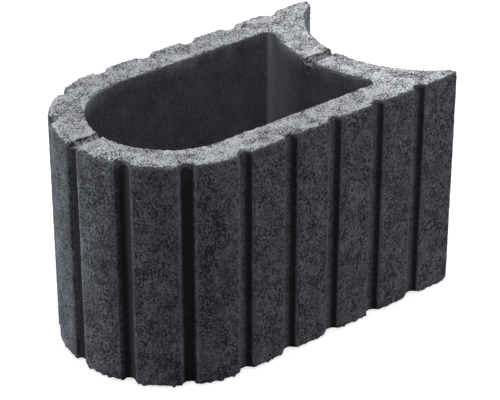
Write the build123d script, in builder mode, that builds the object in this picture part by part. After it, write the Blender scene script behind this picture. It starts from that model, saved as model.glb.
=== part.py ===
from build123d import *
from math import cos, radians, sin, sqrt
import os

# Planter ring: a ribbed concrete ring, round at the nose and hollowed at the rear, with an
# open cavity for soil. The nose stands in the seat of the next ring, and rings stack in courses.
# X runs from the nose to the seat, Y across and Z up, with the origin at the middle of the base.

# Overall sizes, in millimetres
length = 320.0  # nose to horn tips
width = 192.0  # across the ribbed sides
height = 200.0  # one course of a wall

# Walls of the cavity
wall = 30.0  # nose and sides
rear_wall = 30.0  # between the cavity and the seat
corner_round = 6.0  # rear corners of the cavity

# Seat for the next ring's nose, between two horns
joint_gap = 5.5  # room between the seat and the nose that stands in it
horn_tip = 9.0  # blunt end of a horn
horn_round = 1.5  # corners of that end

# Vertical grooves between the ribs
nose_groove_angle = 30.0  # step around the nose, in degrees
side_groove_pitch = 45.5  # step along the straight sides
last_rib = 26.0  # shortest rib that is left beside a horn's end
groove_mouth = 12.0  # of a round channel
groove_depth = 5.8
rib_round = 1.2  # edges of the ribs

# Breaking notches across the tops of the nose wall and the rear wall
notch_mouth = 8.0
notch_floor = 4.0
notch_depth = 4.5

# Worn edges of the top and bottom faces
arris = 1.0

# Places that follow from the sizes
nose_radius = width / 2
nose_x = nose_radius - length / 2  # axis of the nose
tip_x = length / 2  # ends of the horns
tip_y = nose_radius - horn_tip  # inner edges of those ends
seat_radius = nose_radius + joint_gap
seat_x = tip_x + sqrt(seat_radius**2 - tip_y**2)  # axis of the seat
cavity_radius = nose_radius - wall
cavity_rear_radius = seat_radius + rear_wall
cavity_rear_x = seat_x - sqrt(cavity_rear_radius**2 - cavity_radius**2)
groove_radius = (groove_mouth**2 / 4 + groove_depth**2) / (2 * groove_depth)

# Grooves go around the nose and then along both sides, each opening outwards
nose_steps = round(90 / nose_groove_angle)
nose_angles = [180 + step * nose_groove_angle for step in range(1 - nose_steps, nose_steps)]
side_run = tip_x - nose_x - last_rib - groove_mouth / 2
side_places = [nose_x + step * side_groove_pitch for step in range(int(side_run / side_groove_pitch) + 1)]
groove_spots = []
for angle in nose_angles:
    rib_x = nose_x + nose_radius * cos(radians(angle))
    rib_y = nose_radius * sin(radians(angle))
    groove_spots.append(Location((rib_x, rib_y), angle))
for place in side_places:
    groove_spots.append(Location((place, nose_radius), 90))
    groove_spots.append(Location((place, -nose_radius), -90))

# The ring's outline, before it is grooved
with BuildSketch() as outline:
    with BuildLine():
        ThreePointArc((nose_x, nose_radius), (nose_x - nose_radius, 0), (nose_x, -nose_radius))
        Polyline((nose_x, -nose_radius), (tip_x, -nose_radius), (tip_x, -tip_y))
        ThreePointArc((tip_x, -tip_y), (seat_x - seat_radius, 0), (tip_x, tip_y))
        Polyline((tip_x, tip_y), (tip_x, nose_radius), (nose_x, nose_radius))
    make_face()
    fillet(outline.vertices().group_by(Axis.X)[-1], horn_round)

# One groove, opening towards +X, with its mouth on the Y axis
with BuildSketch() as groove:
    with Locations((groove_radius - groove_depth, 0)):
        Circle(groove_radius)

# The cavity runs through from top to bottom, and its rear wall keeps one thickness
with BuildSketch() as cavity:
    with BuildLine():
        ThreePointArc((nose_x, cavity_radius), (nose_x - cavity_radius, 0), (nose_x, -cavity_radius))
        Line((nose_x, -cavity_radius), (cavity_rear_x, -cavity_radius))
        ThreePointArc(
            (cavity_rear_x, -cavity_radius),
            (seat_x - cavity_rear_radius, 0),
            (cavity_rear_x, cavity_radius),
        )
        Line((cavity_rear_x, cavity_radius), (nose_x, cavity_radius))
    make_face()
    fillet(cavity.vertices().group_by(Axis.X)[-1], corner_round)

with BuildSketch() as plan:
    add(outline.sketch)
    with Locations(*groove_spots):
        add(groove.sketch, mode=Mode.SUBTRACT)
    rib_edges = plan.vertices(Select.LAST).filter_by(
        lambda corner: corner.distance_to(outline.wire()) < groove_depth / 2
    )
    fillet(rib_edges, rib_round)
    add(cavity.sketch, mode=Mode.SUBTRACT)

with BuildPart() as planter_ring:
    add(plan.sketch)
    extrude(amount=height)
    beds = planter_ring.faces().filter_by(Axis.Z)
    chamfer(beds.edges(), arris)
    with BuildSketch(Plane.YZ):
        with BuildLine():
            Polyline(
                (-notch_mouth / 2, height),
                (-notch_floor / 2, height - notch_depth),
                (notch_floor / 2, height - notch_depth),
                (notch_mouth / 2, height),
                close=True,
            )
        make_face()
    extrude(amount=length, both=True, mode=Mode.SUBTRACT)

planter_ring.part.label = "planter_ring"
os.makedirs("parts", exist_ok=True)
export_step(planter_ring.part, "parts/planter_ring.step")
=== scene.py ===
import math

import bpy
import numpy as np
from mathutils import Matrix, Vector


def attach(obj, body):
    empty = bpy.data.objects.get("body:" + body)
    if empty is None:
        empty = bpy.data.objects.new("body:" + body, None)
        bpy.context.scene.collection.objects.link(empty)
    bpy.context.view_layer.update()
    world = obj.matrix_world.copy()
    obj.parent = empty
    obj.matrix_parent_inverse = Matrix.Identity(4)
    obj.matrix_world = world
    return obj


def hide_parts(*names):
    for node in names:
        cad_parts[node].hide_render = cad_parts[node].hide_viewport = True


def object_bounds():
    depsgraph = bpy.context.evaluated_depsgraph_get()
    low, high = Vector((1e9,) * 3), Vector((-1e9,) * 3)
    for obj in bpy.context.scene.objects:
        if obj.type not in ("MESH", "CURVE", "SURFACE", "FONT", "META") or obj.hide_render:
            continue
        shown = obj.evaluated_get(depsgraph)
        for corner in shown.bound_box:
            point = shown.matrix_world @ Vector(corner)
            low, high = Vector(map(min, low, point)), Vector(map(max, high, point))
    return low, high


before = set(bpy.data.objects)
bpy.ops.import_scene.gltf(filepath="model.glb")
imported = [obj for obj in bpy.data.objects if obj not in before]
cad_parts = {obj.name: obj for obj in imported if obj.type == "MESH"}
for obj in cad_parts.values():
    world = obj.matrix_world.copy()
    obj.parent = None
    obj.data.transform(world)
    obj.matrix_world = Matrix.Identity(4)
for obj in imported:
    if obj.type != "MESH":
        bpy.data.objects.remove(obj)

cadLow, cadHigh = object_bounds()
bpy.ops.object.select_all(action='DESELECT')
print("frame loaded:", sorted(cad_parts))


# mesh helpers

def pickOnly(obj):
    bpy.ops.object.select_all(action='DESELECT')
    obj.select_set(True)
    bpy.context.view_layer.objects.active = obj


def applyAll(obj):
    pickOnly(obj)
    for name in [m.name for m in obj.modifiers]:
        bpy.ops.object.modifier_apply(modifier=name)


def readCoords(obj):
    coords = np.empty(len(obj.data.vertices) * 3, dtype=np.float32)
    obj.data.vertices.foreach_get("co", coords)
    return coords.reshape(-1, 3)


def readNormals(obj):
    normals = np.empty(len(obj.data.vertices) * 3, dtype=np.float32)
    obj.data.vertex_normals.foreach_get("vector", normals)
    return normals.reshape(-1, 3)


def smoothStep(values, low, high):
    t = np.clip((values - low) / (high - low), 0.0, 1.0)
    return t * t * (3.0 - 2.0 * t)


def paintGroup(obj, name, weights, levels=24):
    group = obj.vertex_groups.new(name=name)
    steps = np.rint(np.clip(weights, 0, 1) * levels).astype(int)
    for step in range(1, levels + 1):
        picked = np.flatnonzero(steps == step)
        if len(picked):
            group.add(picked.tolist(), step / levels, 'REPLACE')


def paintLayer(obj, name, values):
    layer = obj.data.attributes.new(name, 'FLOAT', 'POINT')
    layer.data.foreach_set("value", values.astype(np.float32))


# concrete ring: relief cast into the mesh

ringRelief = {
    "voxel": 0.0010,                  # first, even mesh
    "triangles": 192000,              # last mesh
    "smoothAngle": 32,                # degrees
    "edgePasses": 30,                 # smoothing that finds edges
    "edgeLift": 0.00030,              # lift that counts as a full edge
    "edgeStart": 0.15,                # share of it where an edge begins
    "endBand": 0.005,                 # height of the ragged bands at top and foot
    "bandFull": 0.3,                  # share of it that is all ragged
    "footPasses": 25,                 # wear that rounds the foot's corners
    "topBand": 0.0014,                # how far below the top face its texture reaches
    "topFull": 0.4,                   # share of it that is all top
    "topFacing": (0.35, 0.75),        # upward normals between which a face becomes top
    "rearSpan": (0.055, 0.110),       # where the coarser top of rear wall and horns begins, painted paler there as painted light
    # cavity, in a box of its own
    "cavityHalf": 0.0675,
    "cavityEnds": (-0.132, 0.100),
    "uprightFacing": 0.5,
    "litBandSpan": (0.0, 0.055),          # painted light on the far end of the cavity's rear wall
    "litBandFacing": (0.3, 0.7),
    # notches, front and rear, and the crack under the rear one
    "notchHalf": (0.0048, 0.0060),
    "notchDrop": 0.0062,
    "notchBank": (-0.0015, 0.0010),   # pale near bank of the front notch, to its far wall, which is darker as painted shade
    "crackHalf": 0.0010,
    "crackSpan": (0.1868, 0.1935),
    "crackDepth": 0.0020,
    "crackWave": (0.0006, 900.0),     # sway to each side, and its turns
    "crackShade": 1.15,
    # grooves
    "grooveSkin": (0.0024, 0.0042),   # depths between which painted shade darkens a groove
    "grooveFull": 0.0058,
    "grooveEnd": 0.0075,              # deeper points belong to other walls
    "hornEnd": 0.012,                 # no groove so near the ends of the horns
    "noseBlend": 0.03,                # length over which the nose's grooves become the sides'
    "archStart": 0.0020,              # a groove's painted shade begins this far below the top, in its middle
    "archRise": (0.0075, 0.0030),     # and this much lower at its edges, on nose and sides
    "sideFlank": (0.0, 0.75),         # painted shade: side grooves are darkest where they face the nose
    "sideFloor": 0.28,
    "sideSkin": 0.0020,
    # name: size, depth, detail (0 makes cells), contrast, brightness, group
    "coats": {
        "swell": (0.050, 0.0005, 2, 1.0, 1.0, None),            # slow unevenness of the faces
        "footChips": (0.0050, 0.0030, 3, 2.4, 0.85, "foot"),
        "rimChips": (0.0034, 0.0022, 3, 1.8, 1.0, "rim"),
        "ribWear": (0.0040, 0.0005, 2, 1.4, 1.0, "rib"),
        "topGrain": (0.0028, 0.0011, 0, 1.3, 1.0, "top"),
        "rearLumps": (0.0055, 0.0011, 2, 1.8, 1.0, "rearTop"),
        "airPits": (0.0036, 0.0007, 2, 3.2, 0.0, "pits"),
        "brokenNotch": (0.0045, 0.0024, 3, 1.8, 1.0, "notch"),
    },
}


def displace(obj, name, texture, depth, group=None):
    m = obj.modifiers.new(name, 'DISPLACE')
    if texture:
        m.texture = texture
        m.texture_coords = 'LOCAL'
    m.direction = 'NORMAL'
    m.strength = -depth          # always inwards, so that the part keeps its outer sizes
    m.mid_level = 0.0
    if group:
        m.vertex_group = group


def coatTexture(name, size, detail, contrast, brightness):
    t = bpy.data.textures.new(name, 'CLOUDS' if detail else 'VORONOI')
    t.noise_scale = size
    t.contrast = contrast
    t.intensity = brightness
    if detail:
        t.noise_depth = detail
    return t


def makeRing():
    r = ringRelief
    ring = bpy.data.objects.new("concreteRing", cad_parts["planter_ring"].data.copy())
    ring.data.materials.clear()
    bpy.context.scene.collection.objects.link(ring)
    pickOnly(ring)
    bpy.ops.object.mode_set(mode='EDIT')
    bpy.ops.mesh.select_all(action='SELECT')
    bpy.ops.mesh.remove_doubles(threshold=0.00001)
    bpy.ops.object.mode_set(mode='OBJECT')
    m = ring.modifiers.new("evenMesh", 'REMESH')
    m.mode = 'VOXEL'
    m.voxel_size = r["voxel"]
    applyAll(ring)
    print("ring remeshed:", len(ring.data.vertices), "points")

    # a smoothed copy shows which points stand out at an edge
    softCopy = ring.copy()
    softCopy.data = ring.data.copy()
    bpy.context.scene.collection.objects.link(softCopy)
    m = softCopy.modifiers.new("soften", 'SMOOTH')
    m.factor = 0.5
    m.iterations = r["edgePasses"]
    applyAll(softCopy)
    coords, normals = readCoords(ring), readNormals(ring)
    lift = ((coords - readCoords(softCopy)) * normals).sum(axis=1)
    bpy.data.objects.remove(softCopy)
    x, y, z = coords.T
    noseFacing, upFacing = -normals[:, 0], normals[:, 2]
    edge = smoothStep(lift, r["edgeStart"] * r["edgeLift"], r["edgeLift"])

    # grooves, by the depth of each outer point under the plain outline of nose and sides, with their
    # painted shade: deeper is darker, side flanks facing the nose are darkest, and it starts below an
    # arch
    noseRadius = cadHigh.y
    noseX = cadLow.x + noseRadius
    depth = noseRadius - np.hypot(np.minimum(x - noseX, 0.0), y)
    inGroove = (depth < r["grooveEnd"]) & (x < cadHigh.x - r["hornEnd"])
    recess = smoothStep(depth, *r["grooveSkin"]) * inGroove
    onSide = np.interp(x, (noseX - r["noseBlend"], noseX), (0.0, 1.0))
    flank = smoothStep(noseFacing, *r["sideFlank"])
    flank = np.interp(flank, (0.0, 1.0), (r["sideFloor"], 1.0))
    sheltered = smoothStep(depth + onSide * r["sideSkin"], *r["grooveSkin"]) * inGroove
    sheltered = sheltered * (1.0 - onSide + onSide * flank)
    arch = np.sqrt(np.clip(1.0 - depth / r["grooveFull"], 0.0, 1.0))
    arch = r["archStart"] + arch * np.interp(onSide, (0.0, 1.0), r["archRise"])

    # cavity, notches, crack, top and foot, by place and normal
    bandStart = r["bandFull"] * r["endBand"]
    nearFoot = 1.0 - smoothStep(z - cadLow.z, bandStart, r["endBand"])
    nearRim = 1.0 - smoothStep(cadHigh.z - z, bandStart, r["endBand"])
    cavity = (np.abs(y) < r["cavityHalf"]) & (x > r["cavityEnds"][0]) & (x < r["cavityEnds"][1])
    cavity = cavity & (np.abs(upFacing) < r["uprightFacing"])
    # painted light: a pale band on the cavity's rear wall, towards its far end and where it faces the
    # nose
    litBand = cavity * smoothStep(noseFacing, *r["litBandFacing"]) * smoothStep(y, *r["litBandSpan"])
    notch = (np.abs(y) < np.where(x < 0, *r["notchHalf"])) & (z > cadHigh.z - r["notchDrop"])
    # painted shade: the front notch's far wall takes the darker broken colour, its near bank the pale top
    broken = notch * np.where(x < 0, smoothStep(y, *r["notchBank"]), 1.0)
    sway, turns = r["crackWave"]
    crack = cavity & (x > 0) & (np.abs(y - sway * np.sin(turns * z)) < r["crackHalf"])
    crack = crack & (z > r["crackSpan"][0]) & (z < r["crackSpan"][1])
    top = smoothStep(z, cadHigh.z - r["topBand"], cadHigh.z - r["topFull"] * r["topBand"])
    top = top * smoothStep(upFacing, *r["topFacing"]) * ~notch
    rear = smoothStep(x, *r["rearSpan"])
    ribs = (1.0 - edge) * (1.0 - recess) * (1.0 - top) * ~cavity * (1.0 - nearFoot)

    paintGroup(ring, "foot", edge * nearFoot)
    paintGroup(ring, "rim", edge * nearRim * ~notch)
    paintGroup(ring, "rib", edge * (1.0 - nearFoot) * (1.0 - nearRim))
    paintGroup(ring, "top", top)
    paintGroup(ring, "rearTop", top * rear)
    paintGroup(ring, "pits", ribs)
    paintGroup(ring, "notch", notch * 1.0)
    paintGroup(ring, "crack", crack * 1.0)
    paintLayer(ring, "edgeMask", edge)
    # painted shade in the grooves and the crack
    paintLayer(ring, "paintedRecessShade", np.maximum(sheltered, crack * r["crackShade"]))
    paintLayer(ring, "archDrop", arch)
    paintLayer(ring, "topMask", np.maximum(top, notch - broken))
    paintLayer(ring, "rearCoarseAndLit", rear)
    paintLayer(ring, "notchMask", broken)
    paintLayer(ring, "smoothMask", cavity * 1.0)
    paintLayer(ring, "grooveMask", sheltered)
    paintLayer(ring, "paintedLightBand", litBand)
    print("edge points:", int((edge > 0.5).sum()), "groove points:", int((recess > 0.5).sum()))

    m = ring.modifiers.new("footWear", 'SMOOTH')
    m.factor = 0.5
    m.iterations = r["footPasses"]
    m.vertex_group = "foot"
    for name, (size, deep, detail, contrast, brightness, group) in r["coats"].items():
        displace(ring, name, coatTexture(name, size, detail, contrast, brightness), deep, group)
    displace(ring, "crack", None, r["crackDepth"], "crack")
    applyAll(ring)

    m = ring.modifiers.new("thin", 'DECIMATE')
    m.ratio = r["triangles"] / (2 * len(ring.data.polygons))
    applyAll(ring)
    m = ring.modifiers.new("keepInside", 'SHRINKWRAP')      # no grain stands out of the solid
    m.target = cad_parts["planter_ring"]
    m.wrap_method = 'NEAREST_SURFACEPOINT'
    m.wrap_mode = 'INSIDE'
    applyAll(ring)
    bpy.ops.object.shade_smooth_by_angle(angle=math.radians(r["smoothAngle"]))
    print("ring finished:", len(ring.data.polygons), "faces")
    return ring


# node helpers

def feed(tree, socket, value):
    if isinstance(value, bpy.types.NodeSocket):
        tree.links.new(value, socket)
    else:
        socket.default_value = value


def addNode(tree, kind, settings=None, **inputs):
    node = tree.nodes.new(kind)
    for name, value in (settings or {}).items():
        setattr(node, name, value)
    for name, value in inputs.items():
        feed(tree, node.inputs[name.replace("_", " ")], value)
    return node


def calc(tree, operation, a, b=0.0, c=0.0):
    node = tree.nodes.new('ShaderNodeMath')
    node.operation = operation
    for socket, value in zip(node.inputs, (a, b, c)):
        feed(tree, socket, value)
    return node.outputs[0]


def ramp(tree, value, low, high, toLow=0.0, toHigh=1.0):
    node = addNode(tree, 'ShaderNodeMapRange', {"interpolation_type": 'SMOOTHSTEP'},
                   Value=value, From_Min=low, From_Max=high, To_Min=toLow, To_Max=toHigh)
    return node.outputs[0]


def blend(tree, factor, a, b):
    node = addNode(tree, 'ShaderNodeMix', {"data_type": 'RGBA'})
    for socket, value in zip((node.inputs[0], node.inputs[6], node.inputs[7]), (factor, a, b)):
        feed(tree, socket, value)
    return node.outputs[2]


def noiseValue(tree, vector, scale, detail=2.0, rough=0.5):
    return addNode(tree, 'ShaderNodeTexNoise', None,
                   Vector=vector, Scale=scale, Detail=detail, Roughness=rough).outputs[0]


def readLayer(tree, name):
    return addNode(tree, 'ShaderNodeAttribute', {"attribute_name": name}).outputs["Fac"]


def newGroup(name, inputs, outputs):
    tree = bpy.data.node_groups.new(name, 'ShaderNodeTree')
    for socketName, kind in inputs:
        tree.interface.new_socket(socketName, in_out='INPUT', socket_type=kind)
    for socketName in outputs:
        tree.interface.new_socket(socketName, in_out='OUTPUT', socket_type='NodeSocketFloat')
    start = tree.nodes.new('NodeGroupInput')
    end = tree.nodes.new('NodeGroupOutput')
    return tree, start.outputs, end.inputs


def placeGroup(tree, group, **inputs):
    node = addNode(tree, 'ShaderNodeGroup', {"node_tree": group})
    for name, value in inputs.items():
        feed(tree, node.inputs[name], value)
    return node.outputs


# concrete: grains of sand and stone, and ragged pits between them

def makeGrainGroup():
    tree, given, made = newGroup(
        "sandGrains", [("Vector", 'NodeSocketVector'), ("Scale", 'NodeSocketFloat')],
        ["Tone", "Gap"])
    cell = addNode(tree, 'ShaderNodeTexVoronoi', None, Vector=given["Vector"], Scale=given["Scale"])
    split = addNode(tree, 'ShaderNodeSeparateColor', None, Color=cell.outputs["Color"])
    border = addNode(tree, 'ShaderNodeTexVoronoi', {"feature": 'DISTANCE_TO_EDGE'},
                     Vector=given["Vector"], Scale=given["Scale"])
    feed(tree, made["Tone"], split.outputs[0])
    feed(tree, made["Gap"], ramp(tree, border.outputs["Distance"], 0.0, 0.16, 1.0, 0.0))
    return tree


def makePitGroup():
    tree, given, made = newGroup(
        "raggedPits", [("Vector", 'NodeSocketVector'), ("Scale", 'NodeSocketFloat'),
                       ("Start", 'NodeSocketFloat')], ["Pit"])
    field = addNode(tree, 'ShaderNodeTexNoise', None, Vector=given["Vector"], Scale=given["Scale"],
                    Detail=3.0, Roughness=0.62)
    wide = calc(tree, 'MULTIPLY', given["Scale"], 0.13)
    cluster = addNode(tree, 'ShaderNodeTexNoise', None, Vector=given["Vector"], Scale=wide, Detail=2.0)
    value = calc(tree, 'MULTIPLY_ADD', cluster.outputs[0], 0.35, field.outputs[0])
    stop = calc(tree, 'ADD', given["Start"], 0.05)
    feed(tree, made["Pit"], ramp(tree, value, given["Start"], stop))
    return tree


concreteLook = {
    "sideDark": (0.060, 0.0630, 0.072, 1),
    "sidePale": (0.154, 0.1617, 0.188, 1),
    "castDark": (0.055, 0.0577, 0.066, 1),
    "castPale": (0.130, 0.1365, 0.157, 1),
    "litBandPale": (0.240, 0.2520, 0.284, 1),
    # near black: painted shade in pits and grooves
    "paintedShadeColour": (0.010, 0.0102, 0.0112, 1),
    "speckColour": (0.30, 0.31, 0.33, 1),
    # painted shade in the top's holes, grain gaps and cracks
    "topVoidShade": (0.036, 0.037, 0.041, 1),
    "topGrey": (0.400, 0.412, 0.437, 1),
    "topPale": (0.485, 0.497, 0.521, 1),
    # painted light: paler top towards the rear wall and horns
    "rearPaintedLight": (0.740, 0.755, 0.785, 1),
    "brokenDark": (0.035, 0.0355, 0.037, 1),
    "brokenPale": (0.27, 0.272, 0.280, 1),
    # grains or pits in a metre
    "sideGrains": 880.0,
    "speckGrains": 650.0,
    "topGrains": 560.0,
    "topHoles": 784.0,
    "rearCracks": 336.0,
    "bigPits": 560.0,
    "smallPits": 896.0,
    # noise values where pits begin: higher leaves fewer
    "bigPitStart": 0.695,
    "smallPitStart": 0.68,
    "holeStart": 0.685,
    "crackStart": 0.70,
    # scales of other noise
    "stirScale": 300.0,
    "frayScale": 520.0,
    "patchScale": 42.0,
    "dustScale": 1150.0,
    "brokenScale": 380.0,
    "stirReach": 0.0024,              # how far grains are pushed out of shape
    "pitStretch": 1.35,               # big pits are a little taller than wide
    "topFray": (0.84, 1.04),          # ragged end of the top's texture
    "topReach": (0.1940, 0.1968),     # heights between which that texture begins
    "archFade": 0.0016,
    "sideSpan": (0.355, 0.855),       # mixed noise that makes dark and pale sides
    "speckSpan": (0.9985, 0.9992),    # very few grains are pale specks
    "stoneSpan": (0.4, 1.0),
    "brokenSpan": (0.36, 0.62),
    # strengths
    "pitShelter": 0.75,               # pits missing from cavity and grooves
    "grooveShade": 0.86,
    # paler edges: part wear, part painted highlight
    "edgeWearAndHighlight": 0.3,
    "rearLightBlend": 0.75,
    "rearCrackShade": 0.45,
    "stoneGap": 0.15,
    "roughness": 0.92,
    "specular": 0.25,
    "bumpStrength": 0.8,
    "bumpHeight": 0.0006,
}


def makeConcrete():
    k = concreteLook
    mat = bpy.data.materials.new("castConcrete")
    mat.use_nodes = True
    tree = mat.node_tree
    shader = tree.nodes["Principled BSDF"]
    grains, pits = makeGrainGroup(), makePitGroup()

    place = addNode(tree, 'ShaderNodeTexCoord').outputs["Object"]
    stir = addNode(tree, 'ShaderNodeTexNoise', None, Vector=place, Scale=k["stirScale"], Detail=1.0)
    stirred = addNode(tree, 'ShaderNodeVectorMath', {"operation": 'MULTIPLY_ADD'})
    feed(tree, stirred.inputs[0], stir.outputs["Color"])
    feed(tree, stirred.inputs[1], (k["stirReach"],) * 3)
    feed(tree, stirred.inputs[2], place)
    spot = stirred.outputs[0]
    upright = addNode(tree, 'ShaderNodeMapping', {"vector_type": 'TEXTURE'}, Vector=place,
                      Scale=(1.0, 1.0, k["pitStretch"])).outputs[0]
    edge, recess = readLayer(tree, "edgeMask"), readLayer(tree, "paintedRecessShade")
    smoothPart = readLayer(tree, "smoothMask")

    # pale open face on top, with a ragged end
    fray = noiseValue(tree, place, k["frayScale"], 2.0, 0.6)
    topMask = calc(tree, 'MULTIPLY_ADD', fray, 0.9, readLayer(tree, "topMask"))
    topMask = ramp(tree, topMask, *k["topFray"])
    height = addNode(tree, 'ShaderNodeSeparateXYZ', None, Vector=place).outputs["Z"]
    topMask = calc(tree, 'MULTIPLY', topMask, ramp(tree, height, *k["topReach"]))

    # painted shade: grooves and the crack turn dark below an arch
    archDrop = readLayer(tree, "archDrop")
    belowArch = calc(tree, 'SUBTRACT', calc(tree, 'SUBTRACT', cadHigh.z, height), archDrop)
    recess = calc(tree, 'MULTIPLY', recess, ramp(tree, belowArch, 0.0, k["archFade"]))

    # moulded sides
    patches = noiseValue(tree, place, k["patchScale"], 3.0, 0.6)
    dust = noiseValue(tree, place, k["dustScale"], 2.0, 0.6)
    bigPit = placeGroup(tree, pits, Vector=upright, Scale=k["bigPits"], Start=k["bigPitStart"])["Pit"]
    smallPit = placeGroup(tree, pits, Vector=place, Scale=k["smallPits"], Start=k["smallPitStart"])["Pit"]
    pit = calc(tree, 'MAXIMUM', bigPit, calc(tree, 'MULTIPLY', smallPit, 0.8))
    sheltered = calc(tree, 'MAXIMUM', smoothPart, readLayer(tree, "grooveMask"))
    pit = calc(tree, 'MULTIPLY', pit, calc(tree, 'MULTIPLY_ADD', sheltered, -k["pitShelter"], 1.0))
    sand = placeGroup(tree, grains, Vector=spot, Scale=k["sideGrains"])["Tone"]
    sideTone = calc(tree, 'MULTIPLY_ADD', dust, 0.5, calc(tree, 'MULTIPLY', patches, 0.5))
    sideTone = calc(tree, 'MULTIPLY_ADD', sand, 0.25, sideTone)
    sideTone = ramp(tree, sideTone, *k["sideSpan"])
    side = blend(tree, sideTone, k["sideDark"], k["sidePale"])
    cast = blend(tree, sideTone, k["castDark"], k["castPale"])
    # painted light band on the cavity's rear wall
    cast = blend(tree, readLayer(tree, "paintedLightBand"), cast, k["litBandPale"])
    side = blend(tree, smoothPart, side, cast)
    speck = placeGroup(tree, grains, Vector=spot, Scale=k["speckGrains"])["Tone"]
    speck = calc(tree, 'SUBTRACT', ramp(tree, speck, *k["speckSpan"]), smoothPart)
    side = blend(tree, speck, side, k["speckColour"])
    # pits painted near black as painted shade inside the holes
    side = blend(tree, calc(tree, 'MULTIPLY', pit, 0.9), side, k["paintedShadeColour"])
    # painted shade in grooves and crack, blended towards the shade colour
    side = blend(tree, calc(tree, 'MULTIPLY', recess, k["grooveShade"]), side, k["paintedShadeColour"])
    # edges painted paler: part wear, part painted highlight; less so in the cavity
    edgeWearAndHighlightShare = calc(tree, 'MULTIPLY_ADD', smoothPart, -k["edgeWearAndHighlight"], k["edgeWearAndHighlight"])
    side = blend(tree, calc(tree, 'MULTIPLY', edge, edgeWearAndHighlightShare), side, k["sidePale"])

    # open top
    stones = placeGroup(tree, grains, Vector=spot, Scale=k["topGrains"])
    holes = placeGroup(tree, pits, Vector=spot, Scale=k["topHoles"], Start=k["holeStart"])["Pit"]
    cracks = placeGroup(tree, pits, Vector=spot, Scale=k["rearCracks"], Start=k["crackStart"])["Pit"]
    rear = readLayer(tree, "rearCoarseAndLit")
    cracks = calc(tree, 'MULTIPLY', cracks, calc(tree, 'MULTIPLY', rear, k["rearCrackShade"]))
    top = blend(tree, ramp(tree, stones["Tone"], *k["stoneSpan"]), k["topGrey"], k["topPale"])
    # painted light: the top turns paler towards the rear wall and horns
    top = blend(tree, calc(tree, 'MULTIPLY', rear, k["rearLightBlend"]), top, k["rearPaintedLight"])
    # holes, gaps between grains and rear cracks painted dark as painted shade in the top's voids
    hole = calc(tree, 'MAXIMUM', holes, calc(tree, 'MULTIPLY', stones["Gap"], k["stoneGap"]))
    hole = calc(tree, 'MAXIMUM', hole, cracks)
    top = blend(tree, calc(tree, 'MULTIPLY', hole, 0.95), top, k["topVoidShade"])

    # broken concrete in the notches, also painted shade on the front notch's far wall
    rubble = noiseValue(tree, spot, k["brokenScale"], 3.0, 0.6)
    broken = blend(tree, ramp(tree, rubble, *k["brokenSpan"]), k["brokenDark"], k["brokenPale"])

    colour = blend(tree, readLayer(tree, "notchMask"), blend(tree, topMask, side, top), broken)
    feed(tree, shader.inputs["Base Color"], colour)
    shader.inputs["Roughness"].default_value = k["roughness"]
    shader.inputs["Specular IOR Level"].default_value = k["specular"]

    # relief finer than the mesh
    sideRelief = calc(tree, 'MULTIPLY_ADD', pit, -1.0, calc(tree, 'MULTIPLY', dust, 0.4))
    topRelief = calc(tree, 'MULTIPLY_ADD', hole, -0.9, calc(tree, 'MULTIPLY', stones["Tone"], 0.25))
    relief = addNode(tree, 'ShaderNodeMix', {"data_type": 'FLOAT'})
    for socket, value in zip((relief.inputs[0], relief.inputs[2], relief.inputs[3]),
                             (topMask, sideRelief, topRelief)):
        feed(tree, socket, value)
    bump = addNode(tree, 'ShaderNodeBump', None, Height=relief.outputs[0],
                   Strength=k["bumpStrength"], Distance=k["bumpHeight"])
    feed(tree, shader.inputs["Normal"], bump.outputs[0])
    return mat


concreteRing = makeRing()
concreteRing.data.materials.append(makeConcrete())
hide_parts("planter_ring")
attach(concreteRing, "root")
print("ring dressed")


# floor, light and camera

studio = {
    "floorSize": 6.0,
    "floorWhite": (0.4, 0.4, 0.4, 1),
    "floorGlow": 0.74,                       # lifts the floor to white for the camera alone
    "floorBounce": (0.14, 0.14, 0.146, 1),   # what the object sees of it
    "worldLight": 0.08,
    "cameraPlace": (-0.9153, -1.1274, 0.9017),
    "cameraTurn": (90.0 - 29.05, 0.0, -39.62),
    "lens": 144.0,
    "aim": (0.0, 0.0, 0.1),
}

# name: place, size, watts, colour
lamps = {
    "overLamp": ((-0.11, -0.15, 1.42), 0.8, 20.0, (1.0, 1.0, 1.0)),
    "leftRim": ((-0.68, 1.34, 0.13), 0.3, 24.0, (0.92, 0.95, 1.0)),
    "leftSide": ((-1.24, 0.40, 0.13), 0.3, 10.0, (0.97, 0.98, 1.0)),
    "rightSide": ((0.62, -0.85, 0.13), 0.3, 5.0, (0.97, 0.98, 1.0)),
    "rightRim": ((1.48, 0.21, 0.15), 0.3, 24.0, (0.92, 0.95, 1.0)),
}


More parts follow.
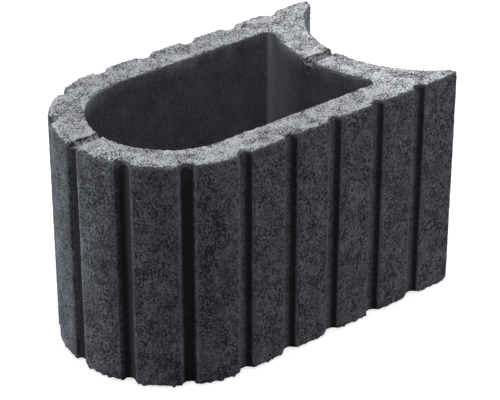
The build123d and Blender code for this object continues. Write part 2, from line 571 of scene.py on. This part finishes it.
def makeFloor():
    bpy.ops.mesh.primitive_plane_add(size=studio["floorSize"], location=(0, 0, 0))
    floor = bpy.context.object
    floor.name = "studioFloor"
    mat = bpy.data.materials.new("whiteFloor")
    mat.use_nodes = True
    tree = mat.node_tree
    tree.nodes.clear()
    path = addNode(tree, 'ShaderNodeLightPath')
    seen = addNode(tree, 'ShaderNodeBsdfDiffuse', None, Color=studio["floorWhite"])
    glow = addNode(tree, 'ShaderNodeEmission', None, Strength=studio["floorGlow"])
    lifted = addNode(tree, 'ShaderNodeAddShader')
    feed(tree, lifted.inputs[0], seen.outputs[0])
    feed(tree, lifted.inputs[1], glow.outputs[0])
    bounce = addNode(tree, 'ShaderNodeBsdfDiffuse', None, Color=studio["floorBounce"])
    either = addNode(tree, 'ShaderNodeMixShader', None, Fac=path.outputs["Is Camera Ray"])
    feed(tree, either.inputs[1], bounce.outputs[0])
    feed(tree, either.inputs[2], lifted.outputs[0])
    addNode(tree, 'ShaderNodeOutputMaterial', None, Surface=either.outputs[0])
    floor.data.materials.append(mat)


def makeWorld():
    world = bpy.data.worlds.new("studioWorld")
    bpy.context.scene.world = world
    world.use_nodes = True
    tree = world.node_tree
    background = tree.nodes["Background"]
    background.inputs["Color"].default_value = (1, 1, 1, 1)
    path = addNode(tree, 'ShaderNodeLightPath')
    strength = ramp(tree, path.outputs["Is Camera Ray"], 0.0, 1.0, studio["worldLight"], 1.0)
    feed(tree, background.inputs["Strength"], strength)


def makeLamp(name, place, size, watts, colour):
    bpy.ops.object.light_add(type='AREA', location=place)
    lamp = bpy.context.object
    lamp.name = name
    lamp.data.size = size
    lamp.data.energy = watts
    lamp.data.color = colour
    towards = Vector(studio["aim"]) - lamp.location
    lamp.rotation_euler = towards.to_track_quat('-Z', 'Y').to_euler()


def makeCamera():
    bpy.ops.object.camera_add(location=studio["cameraPlace"],
                              rotation=[math.radians(v) for v in studio["cameraTurn"]])
    camera = bpy.context.object
    camera.name = "photoCamera"
    camera.data.lens = studio["lens"]
    camera.data.sensor_width = 36.0
    bpy.context.scene.camera = camera


makeFloor()
makeWorld()
for lampName, lampValues in lamps.items():
    makeLamp(lampName, *lampValues)
makeCamera()
bpy.context.scene.view_settings.view_transform = 'Standard'
print("studio ready")
